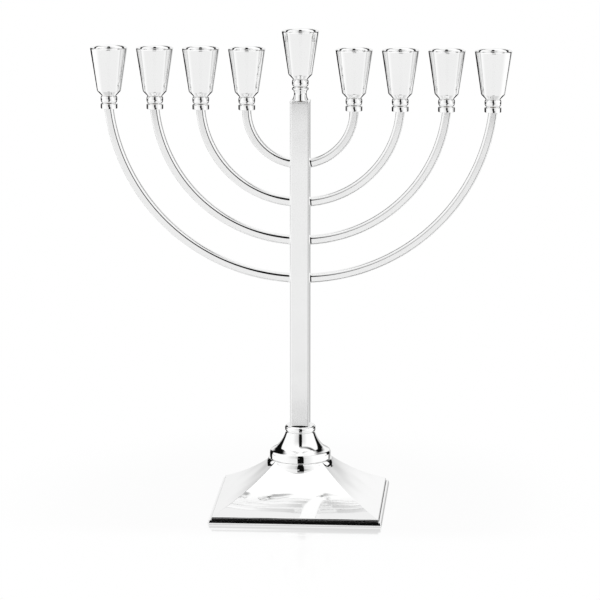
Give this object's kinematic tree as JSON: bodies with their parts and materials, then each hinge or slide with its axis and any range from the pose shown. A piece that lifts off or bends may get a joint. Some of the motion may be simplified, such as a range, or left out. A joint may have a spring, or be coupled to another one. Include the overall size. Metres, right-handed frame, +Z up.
{
  "type": "menorah",
  "caption": "Free-standing candelabrum: tapered candle cups on concentric curved square arms, a taller centre cup on a square stem, bell collar and square concave base.",
  "frame": {"origin": "centre of the foot's underside, on the table", "axes": "+Z up; the row of cups lies along X; the front faces -Y"},
  "size_m": [0.303, 0.125, 0.35],
  "materials": {
    "cup": "mirror-polished silver plate",
    "bead": "mirror-polished silver plate",
    "ferrule": "mirror-polished silver plate",
    "arm": "polished silver plate",
    "stem": "polished silver plate",
    "base": "mirror-polished silver plate, hand-finished",
    "thread": "turned brass, threaded",
    "plug": "sawn and drilled brass",
    "steel": "zinc-plated steel",
    "iron": "rough cast",
    "felt": "dark blue wool felt"
  },
  "bodies": {
    "stand": {"felt_pad": "felt", "bottom_cover": "steel", "plinth_frame": "base", "base_shell": "base", "base_weight": "iron", "base_ring": "base", "bell_collar": "base", "stem_socket_ring": "base", "stem_tube": "stem", "stem_cap_plate": "stem", "stem_foot_plug": "plug", "stem_top_bush": "plug", "stem_spool": "bead", "tie_rod": "steel", "tie_washer": "steel", "tie_nut": "steel", "arm_left_1": "arm", "arm_ferrule_left_1": "ferrule", "arm_left_2": "arm", "arm_ferrule_left_2": "ferrule", "arm_left_3": "arm", "arm_ferrule_left_3": "ferrule", "arm_left_4": "arm", "arm_ferrule_left_4": "ferrule", "arm_right_1": "arm", "arm_ferrule_right_1": "ferrule", "arm_right_2": "arm", "arm_ferrule_right_2": "ferrule", "arm_right_3": "arm", "arm_ferrule_right_3": "ferrule", "arm_right_4": "arm", "arm_ferrule_right_4": "ferrule"},
    "bead_left_1": {"bead_ring_left_1": "bead"},
    "cup_left_1": {"cup_bowl_left_1": "cup", "cup_stud_left_1": "thread"},
    "bead_left_2": {"bead_ring_left_2": "bead"},
    "cup_left_2": {"cup_bowl_left_2": "cup", "cup_stud_left_2": "thread"},
    "bead_left_3": {"bead_ring_left_3": "bead"},
    "cup_left_3": {"cup_bowl_left_3": "cup", "cup_stud_left_3": "thread"},
    "bead_left_4": {"bead_ring_left_4": "bead"},
    "cup_left_4": {"cup_bowl_left_4": "cup", "cup_stud_left_4": "thread"},
    "bead_right_1": {"bead_ring_right_1": "bead"},
    "cup_right_1": {"cup_bowl_right_1": "cup", "cup_stud_right_1": "thread"},
    "bead_right_2": {"bead_ring_right_2": "bead"},
    "cup_right_2": {"cup_bowl_right_2": "cup", "cup_stud_right_2": "thread"},
    "bead_right_3": {"bead_ring_right_3": "bead"},
    "cup_right_3": {"cup_bowl_right_3": "cup", "cup_stud_right_3": "thread"},
    "bead_right_4": {"bead_ring_right_4": "bead"},
    "cup_right_4": {"cup_bowl_right_4": "cup", "cup_stud_right_4": "thread"},
    "bead_centre": {"bead_ring_centre": "bead"},
    "cup_centre": {"cup_bowl_centre": "cup", "cup_stud_centre": "thread"}
  },
  "joints": [
    {"name": "cup_lift_left_1", "type": "slide", "parent": "stand", "child": "bead_left_1", "axis": [0, 0, 1], "range_m": [0, 0.0045]},
    {"name": "cup_unscrew_left_1", "type": "hinge", "parent": "bead_left_1", "child": "cup_left_1", "pos_m": [-0.0386, 0, 0.2966], "axis": [0, 0, 1], "range_deg": [0, 3240]},
    {"name": "cup_lift_left_2", "type": "slide", "parent": "stand", "child": "bead_left_2", "axis": [0, 0, 1], "range_m": [0, 0.0045]},
    {"name": "cup_unscrew_left_2", "type": "hinge", "parent": "bead_left_2", "child": "cup_left_2", "pos_m": [-0.0718, 0, 0.2966], "axis": [0, 0, 1], "range_deg": [0, 3240]},
    {"name": "cup_lift_left_3", "type": "slide", "parent": "stand", "child": "bead_left_3", "axis": [0, 0, 1], "range_m": [0, 0.0045]},
    {"name": "cup_unscrew_left_3", "type": "hinge", "parent": "bead_left_3", "child": "cup_left_3", "pos_m": [-0.105, 0, 0.2966], "axis": [0, 0, 1], "range_deg": [0, 3240]},
    {"name": "cup_lift_left_4", "type": "slide", "parent": "stand", "child": "bead_left_4", "axis": [0, 0, 1], "range_m": [0, 0.0045]},
    {"name": "cup_unscrew_left_4", "type": "hinge", "parent": "bead_left_4", "child": "cup_left_4", "pos_m": [-0.1382, 0, 0.2966], "axis": [0, 0, 1], "range_deg": [0, 3240]},
    {"name": "cup_lift_right_1", "type": "slide", "parent": "stand", "child": "bead_right_1", "axis": [0, 0, 1], "range_m": [0, 0.0045]},
    {"name": "cup_unscrew_right_1", "type": "hinge", "parent": "bead_right_1", "child": "cup_right_1", "pos_m": [0.0386, 0, 0.2966], "axis": [0, 0, 1], "range_deg": [0, 3240]},
    {"name": "cup_lift_right_2", "type": "slide", "parent": "stand", "child": "bead_right_2", "axis": [0, 0, 1], "range_m": [0, 0.0045]},
    {"name": "cup_unscrew_right_2", "type": "hinge", "parent": "bead_right_2", "child": "cup_right_2", "pos_m": [0.0718, 0, 0.2966], "axis": [0, 0, 1], "range_deg": [0, 3240]},
    {"name": "cup_lift_right_3", "type": "slide", "parent": "stand", "child": "bead_right_3", "axis": [0, 0, 1], "range_m": [0, 0.0045]},
    {"name": "cup_unscrew_right_3", "type": "hinge", "parent": "bead_right_3", "child": "cup_right_3", "pos_m": [0.105, 0, 0.2966], "axis": [0, 0, 1], "range_deg": [0, 3240]},
    {"name": "cup_lift_right_4", "type": "slide", "parent": "stand", "child": "bead_right_4", "axis": [0, 0, 1], "range_m": [0, 0.0045]},
    {"name": "cup_unscrew_right_4", "type": "hinge", "parent": "bead_right_4", "child": "cup_right_4", "pos_m": [0.1382, 0, 0.2966], "axis": [0, 0, 1], "range_deg": [0, 3240]},
    {"name": "cup_lift_centre", "type": "slide", "parent": "stand", "child": "bead_centre", "axis": [0, 0, 1], "range_m": [0, 0.0045]},
    {"name": "cup_unscrew_centre", "type": "hinge", "parent": "bead_centre", "child": "cup_centre", "pos_m": [0, 0, 0.3098], "axis": [0, 0, 1], "range_deg": [0, 3240]}
  ],
  "couplings": [
    {"joint": "cup_unscrew_left_1", "follows": "cup_lift_left_1", "rad_per_m": 12566},
    {"joint": "cup_unscrew_left_2", "follows": "cup_lift_left_2", "rad_per_m": 12566},
    {"joint": "cup_unscrew_left_3", "follows": "cup_lift_left_3", "rad_per_m": 12566},
    {"joint": "cup_unscrew_left_4", "follows": "cup_lift_left_4", "rad_per_m": 12566},
    {"joint": "cup_unscrew_right_1", "follows": "cup_lift_right_1", "rad_per_m": 12566},
    {"joint": "cup_unscrew_right_2", "follows": "cup_lift_right_2", "rad_per_m": 12566},
    {"joint": "cup_unscrew_right_3", "follows": "cup_lift_right_3", "rad_per_m": 12566},
    {"joint": "cup_unscrew_right_4", "follows": "cup_lift_right_4", "rad_per_m": 12566},
    {"joint": "cup_unscrew_centre", "follows": "cup_lift_centre", "rad_per_m": 12566}
  ]
}
